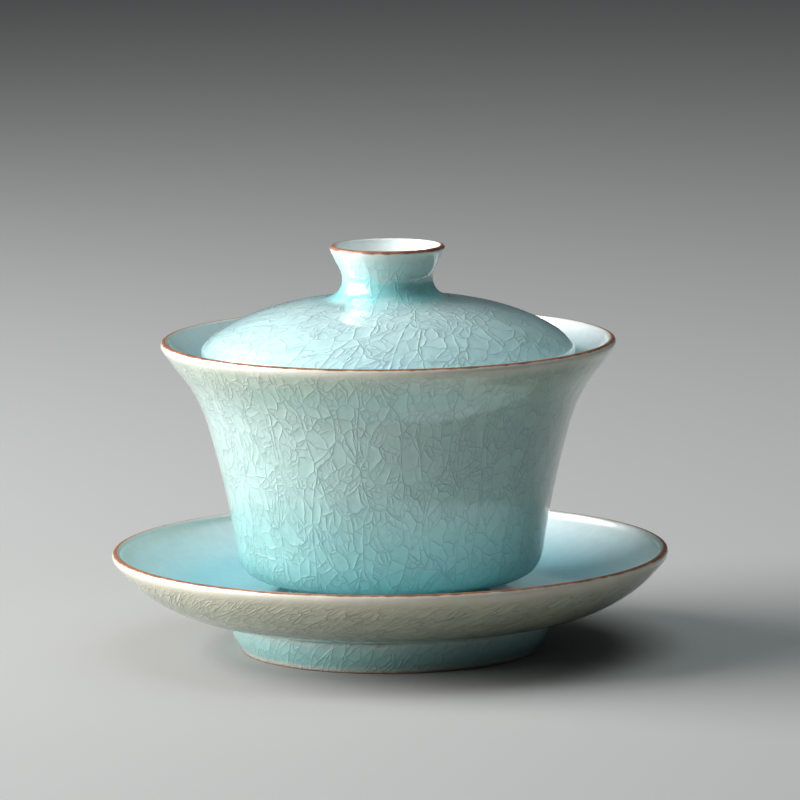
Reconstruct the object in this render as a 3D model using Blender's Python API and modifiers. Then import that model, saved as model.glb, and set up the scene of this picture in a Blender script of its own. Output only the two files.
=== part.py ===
"""Gaiwan: a lidded tea bowl that stands on a saucer, three pieces of glazed stoneware.

Every piece is turned on the Z axis, so each is one outline swept by a Screw modifier.
An outline starts on the axis at the piece's open side, climbs the inside, goes over
the rim, runs down the outside and returns to the axis under the foot.

Lengths are metres. The saucer stands on z = 0. The bowl's origin is the plane of its
own foot, in the saucer's well; the lid's origin is the plane of its lower edge,
inside the bowl's mouth. Both origins are on the Z axis, along which the pieces lift.
"""
import math

import bpy
from mathutils import Vector
from mathutils.geometry import interpolate_bezier

MM = 0.001
TURN_STEPS = 48           # faces round each piece
CURVE_STEPS = 2           # straight pieces between two points of a smooth outline
ARC_STEPS = 4             # straight pieces in a rounded edge
AXIS_MERGE = 0.00002      # welds the rings of points that lie on the axis

RESTING_GAP = 0.3 * MM    # between a piece and the one that it stands on

# Saucer
SAUCER_RIM_CREST = (61.2, 21.6)      # centre of the rounded rim: radius, height, mm
SAUCER_RIM_ROUND = 0.95              # radius of that rounding, mm
SAUCER_FOOT_WIDTH = (30.5, 33.0)     # inner and outer radius of the standing ring, mm
FOOT_EDGE_ROUND = 0.5                # rounding at both edges of a standing ring, mm
WELL_FLOOR = 11.2                    # height of the well that takes the bowl's foot, mm
SAUCER_UNDERSIDE = 7.0               # height of the floor's underside, mm

# Bowl, heights above its own foot
BOWL_RIM_CREST = (49.75, 57.35)
BOWL_RIM_ROUND = 0.95
BOWL_FOOT_WIDTH = (19.9, 21.9)
BOWL_FLOOR = 7.0
BOWL_UNDERSIDE = 2.5

# Lid, heights above its own lower edge
LID_SEAT = 48.85                     # height of the lower edge above the bowl's foot, mm
LID_EDGE_CENTRE = (40.35, 0.9)       # centre of the rounded lower edge
LID_EDGE_ROUND = 0.9
KNOB_RIM_CREST = (12.1, 29.65)
KNOB_RIM_ROUND = 0.7
KNOB_CUP_FLOOR = 21.7                # bottom of the hollow in the knob
LID_CEILING = 14.6                   # top of the hollow under the dome

# Glaze colours, linear
CELADON = (0.29, 0.53, 0.48)
DEEP_CELADON = (0.20, 0.47, 0.45)
PALE_CELADON = (0.42, 0.66, 0.62)
GLAZE_ROUGHNESS = 0.12


def smooth_curve(points):
    """Points along a smooth curve through the given ones, one Bezier span between each two."""
    stops = [Vector(point) for point in points]
    stops = [2 * stops[0] - stops[1], *stops, 2 * stops[-1] - stops[-2]]
    curve = [stops[1]]
    for before, start, end, after in zip(stops, stops[1:], stops[2:], stops[3:]):
        reach = (end - start).length / 3
        leave = start + reach * (end - before).normalized()
        arrive = end - reach * (after - start).normalized()
        curve += interpolate_bezier(start, leave, arrive, end, CURVE_STEPS + 1)[1:]
    return [tuple(point) for point in curve]


def arc(centre, radius, start, end):
    """Points on a circle from one angle to another, in degrees from the +X side."""
    points = []
    for step in range(ARC_STEPS + 1):
        angle = math.radians(start + (end - start) * step / ARC_STEPS)
        points.append((centre[0] + radius * math.cos(angle), centre[1] + radius * math.sin(angle)))
    return points


def standing_ring(inner, outer):
    """The two rounded edges of a foot ring's flat standing face, from outside to inside."""
    outer_edge = arc((outer, FOOT_EDGE_ROUND), FOOT_EDGE_ROUND, 0, -90)
    inner_edge = arc((inner, FOOT_EDGE_ROUND), FOOT_EDGE_ROUND, -90, -180)
    return outer_edge + inner_edge


def rounded_rim(crest, radius):
    """A rim's half circle, from its inner side over the top to its outer side."""
    return arc(crest, radius, 180, 0)


def saucer_outline():
    """Dish with a well for the bowl's foot, a convex underside and a tapering foot."""
    inside = [(0, WELL_FLOOR), (22.8, WELL_FLOOR), (24.2, 11.5), (25.6, 12.3)]
    inside += smooth_curve([(27.0, 12.5), (36.0, 12.5), (43.5, 13.5), (51.3, 16.1), (56.2, 18.5), (60.0, 21.1)])
    underside = smooth_curve([(61.9, 20.8), (58.0, 16.4), (53.0, 12.7), (47.0, 9.8), (41.0, 8.2), (36.4, 7.4)])
    foot = smooth_curve([(35.9, 6.9), (35.6, 4.2), (34.6, 2.1), (33.6, 0.7)])
    recess = [(29.6, 3.5), (29.2, 6.0), (28.2, SAUCER_UNDERSIDE), (0, SAUCER_UNDERSIDE)]
    return (inside + rounded_rim(SAUCER_RIM_CREST, SAUCER_RIM_ROUND) + underside + foot
            + standing_ring(*SAUCER_FOOT_WIDTH) + recess)


def bowl_outline():
    """Deep bowl with a flaring mouth, a turned-in base and a low foot ring."""
    inside = [(0, BOWL_FLOOR), (14.0, BOWL_FLOOR)]
    inside += smooth_curve([(22.0, 7.4), (28.8, 9.4), (31.4, 14.0), (32.8, 21.0), (35.0, 31.0),
                            (38.4, 43.0), (41.3, 49.0), (45.1, 53.2), (48.3, 56.6)])
    outside = smooth_curve([(50.5, 56.6), (47.9, 52.9), (44.7, 48.8), (41.6, 42.9), (38.2, 30.9), (35.8, 19.9),
                            (34.65, 13.4), (34.0, 9.6), (32.3, 6.5), (28.8, 4.8), (23.6, 3.5)])
    foot = [(22.8, 2.8), (22.5, 1.6)]
    recess = [(19.2, 1.8), (18.4, BOWL_UNDERSIDE), (0, BOWL_UNDERSIDE)]
    return (inside + rounded_rim(BOWL_RIM_CREST, BOWL_RIM_ROUND) + outside + foot
            + standing_ring(*BOWL_FOOT_WIDTH) + recess)


def lid_outline():
    """Shallow dome with a turned-in skirt and a hollow knob that flares upwards."""
    knob_cup = [(0, KNOB_CUP_FLOOR), (5.0, KNOB_CUP_FLOOR + 0.3)]
    knob_cup += smooth_curve([(6.8, 22.6), (8.2, 24.2), (9.9, 27.2), (11.2, 29.2)])
    knob = smooth_curve([(12.7, 29.2), (11.7, 27.0), (10.4, 24.4), (10.2, 22.0), (11.4, 19.8), (14.0, 18.4)])
    dome = smooth_curve([(14.0, 18.4), (20.5, 17.4), (27.4, 15.7), (33.8, 13.2), (39.1, 10.1), (41.5, 7.7)])[1:]
    skirt = smooth_curve([(41.7, 6.6), (41.6, 4.2), (41.35, 1.5)])
    edge = arc(LID_EDGE_CENTRE, LID_EDGE_ROUND, 0, -180)
    hollow = smooth_curve([(39.0, 3.5), (37.9, 6.3), (34.6, 9.2), (28.0, 12.1), (18.0, 14.1), (8.0, LID_CEILING)])
    return (knob_cup + rounded_rim(KNOB_RIM_CREST, KNOB_RIM_ROUND) + knob + dome
            + skirt + edge + hollow + [(0, LID_CEILING)])


def glaze(name, colour):
    """A glossy ceramic material with the piece's overall colour."""
    material = bpy.data.materials.new(name)
    material.use_nodes = True
    shader = material.node_tree.nodes["Principled BSDF"]
    shader.inputs["Base Color"].default_value = (*colour, 1.0)
    shader.inputs["Roughness"].default_value = GLAZE_ROUGHNESS
    shader.inputs["Metallic"].default_value = 0.0
    return material


def turned_piece(name, outline, material, collection):
    """One closed piece swept from an outline given in millimetres."""
    points = [(radius * MM, 0, height * MM) for radius, height in outline]
    edges = [(i, i + 1) for i in range(len(points) - 1)]
    mesh = bpy.data.meshes.new(name)
    mesh.from_pydata(points, edges, [])
    mesh.materials.append(material)
    piece = bpy.data.objects.new(name, mesh)
    collection.objects.link(piece)
    screw = piece.modifiers.new("Turn", "SCREW")
    screw.axis = "Z"
    screw.angle = math.tau
    screw.steps = TURN_STEPS
    screw.render_steps = TURN_STEPS
    screw.use_merge_vertices = True
    screw.merge_threshold = AXIS_MERGE
    screw.use_smooth_shade = True
    return piece


def clear_scene():
    """Remove every object that the scene starts with."""
    for leftover in list(bpy.data.objects):
        bpy.data.objects.remove(leftover, do_unlink=True)


def build():
    """The three pieces, each parented to the one that it stands on."""
    clear_scene()
    collection = bpy.data.collections.new("gaiwan")
    bpy.context.scene.collection.children.link(collection)

    saucer = turned_piece("saucer", saucer_outline(), glaze("saucer_glaze", DEEP_CELADON), collection)
    bowl = turned_piece("bowl", bowl_outline(), glaze("bowl_glaze", CELADON), collection)
    lid = turned_piece("lid", lid_outline(), glaze("lid_glaze", PALE_CELADON), collection)

    bowl.parent = saucer
    bowl.location.z = WELL_FLOOR * MM + RESTING_GAP
    lid.parent = bowl
    lid.location.z = LID_SEAT * MM


build()
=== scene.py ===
"""Looks for a celadon gaiwan: saucer, bowl and lid in crackled glaze with bare brown rims.

Each turned CAD node is replaced by a finer turned mesh whose outline is read from the
node, so its place and size are the node's own. The mesh carries the measures that the
glaze follows, such as how far a point is from its piece's rim and how strongly the
crackle shows there. Colours are linear, and lengths metres or millimetres as named.
"""
import math

import bmesh
import bpy
import numpy as np
from mathutils import Matrix, Vector, noise


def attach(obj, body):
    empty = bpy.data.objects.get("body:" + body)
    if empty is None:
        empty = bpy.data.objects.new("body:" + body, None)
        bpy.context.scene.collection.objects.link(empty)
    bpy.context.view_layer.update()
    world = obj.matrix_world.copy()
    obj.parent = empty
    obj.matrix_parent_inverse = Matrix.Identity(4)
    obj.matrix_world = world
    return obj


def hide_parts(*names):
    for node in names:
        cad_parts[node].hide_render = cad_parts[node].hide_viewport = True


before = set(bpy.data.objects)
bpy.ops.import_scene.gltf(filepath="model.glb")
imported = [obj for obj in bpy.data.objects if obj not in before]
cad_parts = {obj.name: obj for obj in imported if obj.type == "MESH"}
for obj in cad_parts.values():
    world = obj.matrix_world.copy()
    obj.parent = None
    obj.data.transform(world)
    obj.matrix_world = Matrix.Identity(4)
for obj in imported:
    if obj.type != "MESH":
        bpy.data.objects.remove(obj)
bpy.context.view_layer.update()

MM = 0.001

# Outlines and meshes
TURN_STEPS = 256                 # faces round each piece
OUTLINE_STEP = 0.7 * MM          # longest straight piece of a refined outline
SAME_POINT = 0.02 * MM           # points of an outline nearer than this are one
RING_DIGITS = 6                  # decimals of a metre that tell one ring of points from another
ON_AXIS = 1e-6                   # metres from the axis that still count as on it
SAME_TURN = 1e-4                 # radians round the axis between points of one outline
HAND_WOBBLE = 0.09 * MM          # how far a wall strays from true round
WOBBLE_START = 26 * MM           # inside this radius the feet and wells stay true
WOBBLE_FADE = 10 * MM            # the wobble grows to its whole size over this much radius
WOBBLE_TURN = 1.3                # how often it changes round the piece
WOBBLE_RISE = 22 * MM            # the height over which it changes

# Crackle, with lengths in millimetres
SLOW_BEND = 0.11                 # noise waves per millimetre that bend a crack slowly
QUICK_BEND = 0.6                 # and those that make it shiver
LONG_STRAY = (9.0, 0.8)          # how far slow and quick noise bend the long cracks
FINE_STRAY = (5.0, 0.9)          # and the finer ones
FIELD_SHIFT = 50.0               # how many fields away a field's finer pattern may be read from
LEFT_WHOLE = 9.0                 # distance added to hide small cracks in a field left whole
CRACK_STAGES = ((1.0, 0.22), (0.9, 0.20), (0.65, 0.17))     # height and ridge width, long to small
BROAD_RIDGE = (0.6, 4.0)         # share of the height and times the width of a ridge's broad part
LINE_FADE = (0.03, 0.17)         # a crack's dark line fades between these distances from it

# Glaze; noise scales are waves per metre
MOTTLE_SCALE = 420.0
DRIFT_SCALE = 160.0
CLOUD_SCALE = 38.0
STRENGTH_SCALE = 300.0
FIELD_SHADE = 0.16               # how much one field's brightness differs from the next
CLOUDING = 0.22                  # slow changes of brightness
SPECKLE = 0.16                   # fine changes of brightness
LINE_DARKNESS = 0.21
STRENGTH_NOISE = (0.30, 0.62)    # noise between which a crack goes from weak to strong
WEAK_CRACK = 0.35                # strength of a crack at its weakest
BODY_ROUGHNESS = 0.38
MOTTLE_ROUGHNESS = 0.12
MOTTLE_RELIEF = 0.25             # height of the fine mottle beside that of a long crack's ridge
RIDGE_HEIGHT = 0.10 * MM         # how far the glaze stands up beside a long crack
COAT_ROUGHNESS = 0.08
COAT_IOR = 1.7
BODY_SPECULAR = 0.5

# Bare clay
BARE_RIM = (0.20, 0.08, 0.04)    # iron-brown
BARE_BRIGHTEST = 1.6             # times that colour, where the clay is palest
BARE_RAGGED = 0.5                # how unevenly a bare line's place runs, in millimetres
BARE_EDGE = (0.75, 1.25)         # a bare line fades between these times its half width
BARE_ROUGHNESS = 0.1             # added where the clay is bare
BARE_COAT = 0.3                  # coat left on bare clay

# Camera: the view that the object is seen from
CAMERA_DISTANCE = 1.5
CAMERA_ELEVATION = math.radians(8.35)
CAMERA_ROLL = math.radians(-0.55)
CAMERA_ASIDE = 2.5 * MM
CAMERA_AIM = 55.8 * MM
CAMERA_LENS = 302.9
CAMERA_SENSOR = 36.0
CAMERA_REACH = 20.0              # how far the camera sees, in metres

# Stage and room
FLOOR_RADIUS = 6.0
FLOOR_SIDES = 96
FLOOR_COLOUR = (0.38, 0.375, 0.36)
FLOOR_ROUGHNESS = 0.8
FLOOR_SPECULAR = 0.1
ROOM_COLOUR = (0.034, 0.04, 0.046)
LIGHT_AIM = Vector((0, 0, 45 * MM))


# --- outlines and meshes ----------------------------------------------------------

def outline_of(node):
    """A turned node's outline as (radius, height) points.

    It runs from the node's top on the axis, over the rim, to its underside on the axis."""
    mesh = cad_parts[node].data
    spots = [vertex.co for vertex in mesh.vertices]
    places = [(math.hypot(spot.x, spot.y), spot.z, math.atan2(spot.y, spot.x)) for spot in spots]
    keys = [(round(radius, RING_DIGITS), round(height, RING_DIGITS)) for radius, height, _ in places]
    neighbours = {}
    for edge in mesh.edges:
        a, b = edge.vertices
        turn = abs(places[a][2] - places[b][2])
        on_axis = min(places[a][0], places[b][0]) < ON_AXIS
        if keys[a] != keys[b] and (on_axis or turn < SAME_TURN):
            neighbours.setdefault(keys[a], set()).add(keys[b])
            neighbours.setdefault(keys[b], set()).add(keys[a])
    ends = [key for key in neighbours if len(neighbours[key]) == 1]
    start, end = sorted(ends, key=lambda key: -key[1])
    path = [start]
    while path[-1] != end:
        path += [key for key in neighbours[path[-1]] if key not in path]
    outline = [Vector((0.0, start[1]))]
    for point in (*map(Vector, path), Vector((0.0, end[1]))):
        if (point - outline[-1]).length > SAME_POINT:
            outline.append(point)
    return outline


def refined(points):
    """The outline through the same points, rounded by a centripetal Catmull-Rom curve."""
    stops = [2 * points[0] - points[1], *points, 2 * points[-1] - points[-2]]
    curve = [points[0]]
    for before, start, end, after in zip(stops, stops[1:], stops[2:], stops[3:]):
        pairs = ((before, start), (start, end), (end, after))
        spans = [math.sqrt((high - low).length) for low, high in pairs]
        leave = tangent(before, start, end, spans[0], spans[1])
        arrive = tangent(start, end, after, spans[1], spans[2])
        pieces = max(2, math.ceil((end - start).length / OUTLINE_STEP))
        for piece in range(1, pieces + 1):
            t = piece / pieces
            curve.append((2 * t**3 - 3 * t**2 + 1) * start
                         + (t**3 - 2 * t**2 + t) * spans[1] * leave
                         + (3 * t**2 - 2 * t**3) * end
                         + (t**3 - t**2) * spans[1] * arrive)
    curve[-1] = points[-1]
    lowest = min(point.y for point in points)
    return [Vector((max(0.0, point.x), max(lowest, point.y))) for point in curve]


def tangent(before, here, after, span_before, span_after):
    """Speed of a centripetal Catmull-Rom curve at one of its points."""
    arriving = (here - before) / span_before
    leaving = (after - here) / span_after
    return (arriving * span_after + leaving * span_before) / (span_before + span_after)


def smooth(value, low, high):
    """A smooth step from 0 to 1 as the value goes from low to high."""
    share = min(1.0, max(0.0, (value - low) / (high - low)))
    return share * share * (3 - 2 * share)


def wobble(radius, height, angle):
    """How far the thrown wall strays outward here: a slow unevenness, none near the axis."""
    reach = min(1.0, max(0.0, (radius - WOBBLE_START) / WOBBLE_FADE))
    spot = (math.cos(angle) * WOBBLE_TURN, math.sin(angle) * WOBBLE_TURN, height / WOBBLE_RISE)
    return HAND_WOBBLE * reach * noise.noise(Vector(spot))


# What the glaze reads at each point, where a piece doesn't state its own. Each measure is
# a function of the distance past the rim's crest in millimetres, less than zero inside.
USUAL_MEASURES = {
    "past_rim": lambda along: along,
    "glassy": lambda along: 1.0,
    "drift": lambda along: 1.6 * smooth(abs(along), 0.6, 2.5),
}


def turned(name, node, measures):
    """A closed turned mesh on a node's refined outline, which carries the named measures."""
    outline = refined(outline_of(node))
    steps = [(b - a).length for a, b in zip(outline, outline[1:])]
    lengths = np.concatenate([[0.0], np.cumsum(steps)]) / MM
    crest = max(range(len(outline)), key=lambda i: outline[i].y)
    along = lengths - lengths[crest]
    rings = outline[1:-1]
    points = [(0.0, 0.0, outline[0].y)]
    rows = [0]
    for row, (radius, height) in enumerate(rings, start=1):
        for step in range(TURN_STEPS):
            angle = math.tau * step / TURN_STEPS
            out = radius + wobble(radius, height, angle)
            points.append((out * math.cos(angle), out * math.sin(angle), height))
            rows.append(row)
    points.append((0.0, 0.0, outline[-1].y))
    rows.append(len(rings) + 1)
    faces = []
    for step in range(TURN_STEPS):
        beside = (step + 1) % TURN_STEPS
        faces.append((0, 1 + step, 1 + beside))
        for ring in range(len(rings) - 1):
            low = 1 + ring * TURN_STEPS
            high = low + TURN_STEPS
            faces.append((low + step, high + step, high + beside, low + beside))
        last = 1 + (len(rings) - 1) * TURN_STEPS
        faces.append((last + step, len(points) - 1, last + beside))
    mesh = bpy.data.meshes.new(name)
    mesh.from_pydata(points, [], faces)
    mesh.shade_smooth()
    for label, measure in {**USUAL_MEASURES, **measures}.items():
        values = [measure(distance) for distance in along]
        layer = mesh.attributes.new(label, "FLOAT", "POINT")
        layer.data.foreach_set("value", [values[row] for row in rows])
    piece = bpy.data.objects.new(name, mesh)
    bpy.context.scene.collection.objects.link(piece)
    return piece


# --- node building ----------------------------------------------------------------

class Graph:
    """Short ways to make and link the nodes of one tree."""

    def __init__(self, tree):
        self.tree = tree

    def node(self, kind, **settings):
        made = self.tree.nodes.new("ShaderNode" + kind)
        for setting, value in settings.items():
            setattr(made, setting, value)
        return made

    def feed(self, socket, value):
        """Links a socket to another node's output, or sets it to a constant."""
        if isinstance(value, bpy.types.NodeSocket):
            self.tree.links.new(value, socket)
        elif isinstance(value, tuple) and len(value) == 3 and socket.type == "RGBA":
            socket.default_value = (*value, 1.0)
        else:
            socket.default_value = value

    def fed(self, kind, *values, **settings):
        """A node whose first inputs are fed in order."""
        made = self.node(kind, **settings)
        for socket, value in zip(made.inputs, values):
            self.feed(socket, value)
        return made

    def math(self, operation, *values):
        return self.fed("Math", *values, operation=operation).outputs[0]

    def add(self, *values):
        total = values[0]
        for value in values[1:]:
            total = self.math("ADD", total, value)
        return total

    def times(self, *values):
        product = values[0]
        for value in values[1:]:
            product = self.math("MULTIPLY", product, value)
        return product

    def highest(self, values):
        top = values[0]
        for value in values[1:]:
            top = self.math("MAXIMUM", top, value)
        return top

    def vector(self, operation, *values):
        made = self.fed("VectorMath", *values, operation=operation)
        return made.outputs["Value" if operation in ("DOT_PRODUCT", "LENGTH") else "Vector"]

    def scaled(self, vector, factor):
        made = self.node("VectorMath", operation="SCALE")
        self.feed(made.inputs[0], vector)
        self.feed(made.inputs["Scale"], factor)
        return made.outputs[0]

    def between(self, value, low, high, at_low=0.0, at_high=1.0):
        """A smooth step from at_low to at_high as the value goes from low to high."""
        ends = low, high, at_low, at_high
        return self.fed("MapRange", value, *ends, interpolation_type="SMOOTHSTEP").outputs[0]

    def mix(self, share, first, second, blend="MIX"):
        """Two colours mixed; a Mix node's colour sockets are its inputs 6 and 7 and output 2."""
        made = self.node("Mix", data_type="RGBA", blend_type=blend)
        self.feed(made.inputs["Factor"], share)
        self.feed(made.inputs[6], first)
        self.feed(made.inputs[7], second)
        return made.outputs[2]

    def noise(self, vector, scale, detail=2.0, output="Fac"):
        made = self.node("TexNoise")
        self.feed(made.inputs["Vector"], vector)
        made.inputs["Scale"].default_value = scale
        made.inputs["Detail"].default_value = detail
        return made.outputs[output]

    def swing(self, level, amount):
        """A level between 0 and 1 as a number round zero, amount wide."""
        return self.times(self.math("SUBTRACT", level, 0.5), amount)

    def uneven(self, vector, scale, amount, detail=2.0):
        """Noise round zero, that strays by about a quarter of the amount."""
        return self.swing(self.noise(vector, scale, detail), amount)

    def measure(self, name):
        return self.node("Attribute", attribute_name=name).outputs["Fac"]

    def red(self, colour):
        """The red channel of a colour, as a number."""
        return self.fed("SeparateColor", colour).outputs[0]

    def grey(self, value):
        """A number as a grey colour."""
        return self.fed("CombineColor", value, value, value).outputs[0]

    def ramp(self, value, stops):
        """A colour ramp whose stops are given in the value's own units."""
        low, high = stops[0][0], stops[-1][0]
        made = self.fed("ValToRGB", self.fed("MapRange", value, low, high, 0.0, 1.0).outputs[0])
        elements = made.color_ramp.elements
        while len(elements) < len(stops):
            elements.new(1.0)
        for element, (place, colour) in zip(elements, stops):
            element.position = (place - low) / (high - low)
            element.color = (*colour, 1.0)
        return made.outputs[0]


# --- crackle ----------------------------------------------------------------------

CRACKLE_INPUTS = (("Long Map", "Vector"), ("Radius", "Float"), ("Along", "Float"),
                  ("Fine Share", "Float"), ("Long Size", "Float"), ("Middle Size", "Float"),
                  ("Small Size", "Float"))
CRACKLE_OUTPUTS = (("Ridge", "Float"), ("Line", "Float"), ("Tint", "Color"))


def strayed(g, vector, slow, quick):
    """The map bent by slow and quick noise, so that no crack is quite straight."""
    mean = (0.5, 0.5, 0.5)
    bend = g.vector("SUBTRACT", g.noise(vector, SLOW_BEND, 1.0, "Color"), mean)
    shiver = g.vector("SUBTRACT", g.noise(vector, QUICK_BEND, 1.0, "Color"), mean)
    return g.vector("ADD", vector, g.vector("ADD", g.scaled(bend, slow), g.scaled(shiver, quick)))


def field(g, vector, size, shift=None):
    """Distance to the nearest crack in millimetres, the field's colour and its middle."""
    place = g.scaled(vector, g.math("DIVIDE", 1.0, size))
    if shift is not None:
        place = g.vector("ADD", place, g.scaled(shift, FIELD_SHIFT))
    edge, cell = (g.node("TexVoronoi", feature=feature, voronoi_dimensions="2D")
                  for feature in ("DISTANCE_TO_EDGE", "F1"))
    for made in (edge, cell):
        g.feed(made.inputs["Vector"], place)
        made.inputs["Scale"].default_value = 1.0
    distance = g.times(edge.outputs["Distance"], size)
    return distance, cell.outputs["Color"], cell.outputs["Position"]


def crackle_group():
    """Long cracks first, then finer ones inside each field that they leave.

    Long cracks are drawn on the Long Map. A field's finer cracks are drawn on the wall
    unrolled from the field's own middle, so they have the same size everywhere and no seam.
    A field's random colour shifts the finer pattern in it, so finer cracks end on the
    longer ones, as they do when a glaze crazes in stages."""
    group = bpy.data.node_groups.new("crackle", "ShaderNodeTree")
    for way, sockets in (("INPUT", CRACKLE_INPUTS), ("OUTPUT", CRACKLE_OUTPUTS)):
        for name, kind in sockets:
            group.interface.new_socket(name, in_out=way, socket_type="NodeSocket" + kind)
    g = Graph(group)
    given = g.tree.nodes.new("NodeGroupInput").outputs
    result = g.tree.nodes.new("NodeGroupOutput").inputs

    bent = strayed(g, given["Long Map"], *LONG_STRAY)
    long_distance, long_colour, middle = field(g, bent, given["Long Size"])
    across = g.vector("CROSS_PRODUCT", middle, given["Long Map"])
    beside = g.fed("SeparateXYZ", across).outputs[2]
    angle = g.math("ARCTAN2", beside, g.vector("DOT_PRODUCT", middle, given["Long Map"]))
    spot = g.times(angle, given["Radius"]), given["Along"], 0.0
    unrolled = strayed(g, g.fed("CombineXYZ", *spot).outputs[0], *FINE_STRAY)
    middle_distance, middle_colour, _ = field(g, unrolled, given["Middle Size"], long_colour)
    small_distance, small_colour, _ = field(g, unrolled, given["Small Size"], middle_colour)
    whole = g.math("GREATER_THAN", g.red(middle_colour), given["Fine Share"])
    small_distance = g.add(small_distance, g.times(whole, LEFT_WHOLE))

    # Glaze beside a crack stands up to it in a narrow and a broad ridge
    ridges, lines = [], []
    broad_share, broad_width = BROAD_RIDGE
    distances = long_distance, middle_distance, small_distance
    for distance, (height, width) in zip(distances, CRACK_STAGES):
        fall = g.times(distance, -1.0 / width)
        broad_fall = g.times(fall, 1.0 / broad_width)
        narrow = g.times(g.math("EXPONENT", fall), height)
        broad = g.times(g.math("EXPONENT", broad_fall), height * broad_share)
        ridges.append(g.add(narrow, broad))
        lines.append(g.times(g.between(distance, *LINE_FADE, 1.0, 0.0), height))
    g.feed(result["Ridge"], g.highest(ridges))
    g.feed(result["Line"], g.highest(lines))
    g.feed(result["Tint"], g.mix(0.5, middle_colour, small_colour))
    return group


CRACKLE = crackle_group()


def long_map(g, across, twist):
    """The map of the long cracks: a point's own direction round the axis, at a stated radius.

    The mesh carries the radius. twist turns the map by so many radians per millimetre
    along the wall, which slants the cracks."""
    turned_on = g.node("VectorRotate", rotation_type="Z_AXIS")
    g.feed(turned_on.inputs["Vector"], g.vector("NORMALIZE", across))
    g.feed(turned_on.inputs["Angle"], g.times(g.measure("past_rim"), twist))
    return g.scaled(turned_on.outputs[0], g.measure("long_radius"))


def glaze(name, colours, bare, sizes, stretch, twist, depth):
    """A celadon glaze: colour by distance from the rim, crackle, bare lines, a glassy coat.

    colours are (millimetres past the crest, colour) stops, and bare holds the (place, half
    width) of each unglazed line in millimetres. sizes are the long, middle and small
    fields' in millimetres, stretch under 1 makes the finer ones taller than wide, twist
    slants the long cracks, and depth is how strongly cracks show."""
    material = bpy.data.materials.new(name)
    material.use_nodes = True
    g = Graph(material.node_tree)
    shader = material.node_tree.nodes["Principled BSDF"]
    place = g.node("TexCoord").outputs["Object"]

    # Colour follows the distance from the rim, with a slow unevenness
    mottle = g.noise(place, MOTTLE_SCALE, 3.0)
    along = g.measure("past_rim")
    drifting = g.times(g.uneven(place, DRIFT_SCALE, 1.0), g.measure("drift"))
    colour = g.ramp(g.add(along, drifting), colours)

    across = g.vector("MULTIPLY", place, (1.0, 1.0, 0.0))
    radius = g.times(g.vector("LENGTH", across), 1 / MM)
    crackle = g.node("Group", node_tree=CRACKLE)
    given = (long_map(g, across, twist), radius, g.times(along, stretch),
             g.measure("fine_share"), *sizes)
    for socket, value in zip(crackle.inputs, given):
        g.feed(socket, value)
    shown = g.measure("crackled")

    # Every field has its own slight shade; cracks are fine dark lines of varying strength
    shade = g.times(g.swing(g.red(crackle.outputs["Tint"]), FIELD_SHADE), shown)
    clouding = g.uneven(place, CLOUD_SCALE, CLOUDING, 3.0)
    speckle = g.swing(mottle, SPECKLE)
    varied = g.between(g.noise(place, STRENGTH_SCALE, 1.0), *STRENGTH_NOISE, WEAK_CRACK, 1.0)
    strength = g.times(varied, shown, depth)
    darkening = g.times(crackle.outputs["Line"], strength, -LINE_DARKNESS)
    level = g.add(1.0, shade, clouding, speckle, darkening)
    colour = g.mix(1.0, colour, g.grey(level), "MULTIPLY")

    # Bare clay where the glaze runs thin
    bare_lines = []
    for middle, half_width in bare:
        ragged = g.uneven(place, MOTTLE_SCALE, BARE_RAGGED)
        away = g.math("ABSOLUTE", g.add(along, -middle, ragged))
        near, far = (half_width * share for share in BARE_EDGE)
        bare_lines.append(g.between(away, near, far, 1.0, 0.0))
    bareness = g.highest(bare_lines)
    palest = tuple(BARE_BRIGHTEST * part for part in BARE_RIM)
    clay = g.mix(g.between(mottle, 0.35, 0.65), BARE_RIM, palest)
    g.feed(shader.inputs["Base Color"], g.mix(bareness, colour, clay))

    rough = g.add(BODY_ROUGHNESS, g.swing(mottle, MOTTLE_ROUGHNESS), g.times(bareness, BARE_ROUGHNESS))
    coat = g.times(g.between(bareness, 0.0, 1.0, 1.0, BARE_COAT), g.measure("glassy"))
    g.feed(shader.inputs["Roughness"], rough)
    g.feed(shader.inputs["Coat Weight"], coat)
    shader.inputs["Coat Roughness"].default_value = COAT_ROUGHNESS
    shader.inputs["Coat IOR"].default_value = COAT_IOR
    shader.inputs["Specular IOR Level"].default_value = BODY_SPECULAR

    # Relief under the smooth coat
    relief = g.add(g.times(crackle.outputs["Ridge"], strength), g.times(mottle, MOTTLE_RELIEF))
    bump = g.node("Bump")
    bump.inputs["Distance"].default_value = RIDGE_HEIGHT
    g.feed(bump.inputs["Height"], relief)
    g.feed(shader.inputs["Normal"], bump.outputs[0])
    return material


# --- the three pieces -------------------------------------------------------------
# In each: how strongly the crackle shows, the share of fields that small cracks divide,
# the long map's radius in millimetres, and the glaze's colours from inside to foot.

def dress(piece, material, body):
    """Gives a piece its glaze, its CAD body and the CAD node that it stands for."""
    piece.data.materials.append(material)
    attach(piece, body)
    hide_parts(body)


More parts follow.
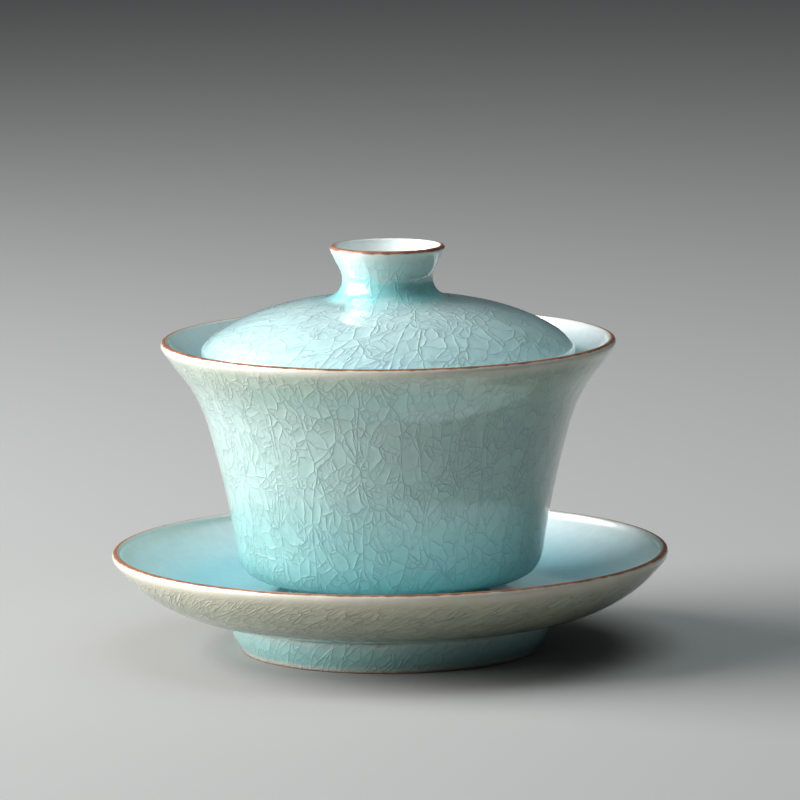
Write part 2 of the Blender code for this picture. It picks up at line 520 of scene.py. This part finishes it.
def make_bowl():
    """Crackled from just under its rim to its foot, and faintly deep inside."""
    piece = turned("bowl_glazed", "bowl", {
        "crackled": lambda along: smooth(along, 1.2, 4.5) + 0.3 * smooth(-along, 14, 24),
        "fine_share": lambda along: 0.6 - 0.35 * smooth(along, 34, 62),
        "long_radius": lambda along: 62.0 - 0.42 * abs(along),
    })
    colours = [(-90, (0.30, 0.60, 0.58)), (-25, (0.42, 0.66, 0.65)), (-8, (0.55, 0.72, 0.74)),
               (-1, (0.70, 0.77, 0.75)), (0.6, (0.72, 0.68, 0.57)), (2.4, (0.58, 0.60, 0.49)),
               (4.0, (0.41, 0.49, 0.39)), (14, (0.365, 0.50, 0.445)), (34, (0.335, 0.495, 0.46)),
               (44, (0.255, 0.45, 0.425)), (57, (0.14, 0.325, 0.31)), (66, (0.11, 0.29, 0.28)),
               (95, (0.11, 0.29, 0.28))]
    rim, foot = (0.3, 0.5), (70.95, 1.7)
    material = glaze("bowl_celadon", colours, bare=[rim, foot],
                     sizes=(9.0, 3.0, 1.5), stretch=0.78, twist=0.0, depth=1.1)
    dress(piece, material, "bowl")


def make_saucer():
    """Crackled outside and on its foot, satin and almost plain inside."""
    piece = turned("saucer_glazed", "saucer", {
        "crackled": lambda along: (smooth(along, 1.8, 6.0) * (1 - 0.5 * smooth(along, 31, 33))
                                   + 0.08 * smooth(-along, 4, 12)),
        "glassy": lambda along: 1 - 0.85 * smooth(-along, 0.3, 2.0),
        "fine_share": lambda along: 0.7 - 0.6 * smooth(along, 30, 33),
        "long_radius": lambda along: 80.0 - 0.4 * abs(along),
    })
    # Inside, the stops at -18 and -5 grow paler and bluer toward the rim: partly thinner glaze, partly
    # painted light from above and a painted blue sky reflection.
    colours = [(-70, (0.20, 0.54, 0.58)), (-36, (0.23, 0.56, 0.60)), (-18, (0.38, 0.72, 0.79)),
               (-5, (0.68, 0.84, 0.85)), (-1, (0.76, 0.83, 0.79)), (0.6, (0.68, 0.63, 0.52)),
               (4.0, (0.50, 0.49, 0.36)), (8.0, (0.37, 0.39, 0.28)), (20, (0.27, 0.34, 0.25)),
               # At 32.0 a dark band in the groove above the foot: painted shade, with some glaze
               # pooled there. At 32.9 a pale line: a painted highlight on the foot's rounded top edge.
               (31.2, (0.26, 0.33, 0.27)), (32.0, (0.16, 0.23, 0.20)), (32.9, (0.50, 0.62, 0.56)),
               (33.8, (0.29, 0.52, 0.49)), (38.2, (0.25, 0.50, 0.46)), (38.9, (0.46, 0.56, 0.50)),
               (75, (0.28, 0.54, 0.53))]
    rim, foot = (0.3, 0.5), (41.6, 1.8)
    material = glaze("saucer_celadon", colours, bare=[rim, foot],
                     sizes=(6.5, 3.2, 1.5), stretch=1.0, twist=0.02, depth=1.7)
    dress(piece, material, "saucer")


def make_lid():
    """Crackled less on its knob than on its dome, with a deep pool of glaze between them."""
    piece = turned("lid_glazed", "lid", {
        "crackled": lambda along: smooth(along, 1.5, 5.0) * (0.5 + 0.5 * smooth(along, 13, 18)),
        "drift": lambda along: (USUAL_MEASURES["drift"](along)
                                + 8.0 * smooth(along, 5, 8) * smooth(-along, -18, -13)),
        "fine_share": lambda along: 0.45,
        "long_radius": lambda along: 20.0 + 0.6 * along,
    })
    colours = [(-15, (0.82, 0.90, 0.89)), (-1, (0.84, 0.90, 0.88)), (0.6, (0.66, 0.68, 0.61)),
               (2.5, (0.44, 0.57, 0.53)), (7.0, (0.38, 0.58, 0.56)), (8.3, (0.28, 0.63, 0.62)),
               (11.5, (0.25, 0.61, 0.60)), (14.0, (0.42, 0.64, 0.63)), (20, (0.52, 0.69, 0.68)),
               (40, (0.47, 0.69, 0.68)), (46, (0.46, 0.69, 0.69)), (95, (0.40, 0.64, 0.63))]
    knob_rim, lower_edge = (0.4, 0.6), (53.2, 0.8)
    material = glaze("lid_celadon", colours, bare=[knob_rim, lower_edge],
                     sizes=(8.5, 4.6, 2.4), stretch=1.0, twist=0.01, depth=1.0)
    dress(piece, material, "lid")


# --- stage, light and camera ------------------------------------------------------

def make_stage():
    """A round pale floor, wide enough to fill the view."""
    mesh = bpy.data.meshes.new("floor")
    disc = bmesh.new()
    bmesh.ops.create_circle(disc, cap_ends=True, segments=FLOOR_SIDES, radius=FLOOR_RADIUS)
    disc.to_mesh(mesh)
    disc.free()
    material = bpy.data.materials.new("floor_paper")
    material.use_nodes = True
    shader = material.node_tree.nodes["Principled BSDF"]
    shader.inputs["Base Color"].default_value = (*FLOOR_COLOUR, 1.0)
    shader.inputs["Roughness"].default_value = FLOOR_ROUGHNESS
    shader.inputs["Specular IOR Level"].default_value = FLOOR_SPECULAR
    mesh.materials.append(material)
    floor = bpy.data.objects.new("floor", mesh)
    bpy.context.scene.collection.objects.link(floor)


def soft_light(name, azimuth, elevation, distance, width, height, power, colour):
    """A rectangular soft light that faces the object.

    Angles are in degrees: azimuth 0 is the camera's side, and 90 the right."""
    turn, rise = math.radians(azimuth), math.radians(elevation)
    level = math.cos(rise)
    offset = Vector((math.sin(turn) * level, -math.cos(turn) * level, math.sin(rise)))
    data = bpy.data.lights.new(name, "AREA")
    data.shape = "RECTANGLE"
    data.size = width
    data.size_y = height
    data.energy = power
    data.color = colour
    lamp = bpy.data.objects.new(name, data)
    bpy.context.scene.collection.objects.link(lamp)
    lamp.location = LIGHT_AIM + distance * offset
    lamp.rotation_euler = (-offset).to_track_quat("-Z", "Y").to_euler()
    lamp.visible_camera = False
    return lamp


def make_light():
    """A large window on the left, a weak light from above with no highlight, and a dim room."""
    soft_light("window", azimuth=-89, elevation=20, distance=1.0, width=1.1, height=1.0,
               power=39.0, colour=(0.98, 0.975, 1.0))
    skylight = soft_light("skylight", azimuth=110, elevation=80, distance=1.1, width=1.0,
                          height=1.0, power=6.2, colour=(0.86, 0.97, 1.0))
    skylight.visible_glossy = False
    world = bpy.data.worlds.new("room")
    world.use_nodes = True
    world.node_tree.nodes["Background"].inputs["Color"].default_value = (*ROOM_COLOUR, 1.0)
    bpy.context.scene.world = world


def make_camera():
    """The camera, level but for a slight roll, aimed a little above the bowl's middle."""
    data = bpy.data.cameras.new("camera")
    data.lens = CAMERA_LENS
    data.sensor_width = CAMERA_SENSOR
    data.clip_end = CAMERA_REACH
    camera = bpy.data.objects.new("camera", data)
    bpy.context.scene.collection.objects.link(camera)
    back = CAMERA_DISTANCE * math.cos(CAMERA_ELEVATION)
    rise = CAMERA_DISTANCE * math.sin(CAMERA_ELEVATION)
    camera.location = (CAMERA_ASIDE, -back, CAMERA_AIM + rise)
    level = Vector((0, back, -rise)).to_track_quat("-Z", "Y").to_matrix()
    camera.rotation_euler = (level @ Matrix.Rotation(CAMERA_ROLL, 3, "Z")).to_euler()
    bpy.context.scene.camera = camera
    bpy.context.scene.view_settings.view_transform = "Standard"


make_camera()
make_light()
make_stage()
make_saucer()
make_bowl()
make_lid()
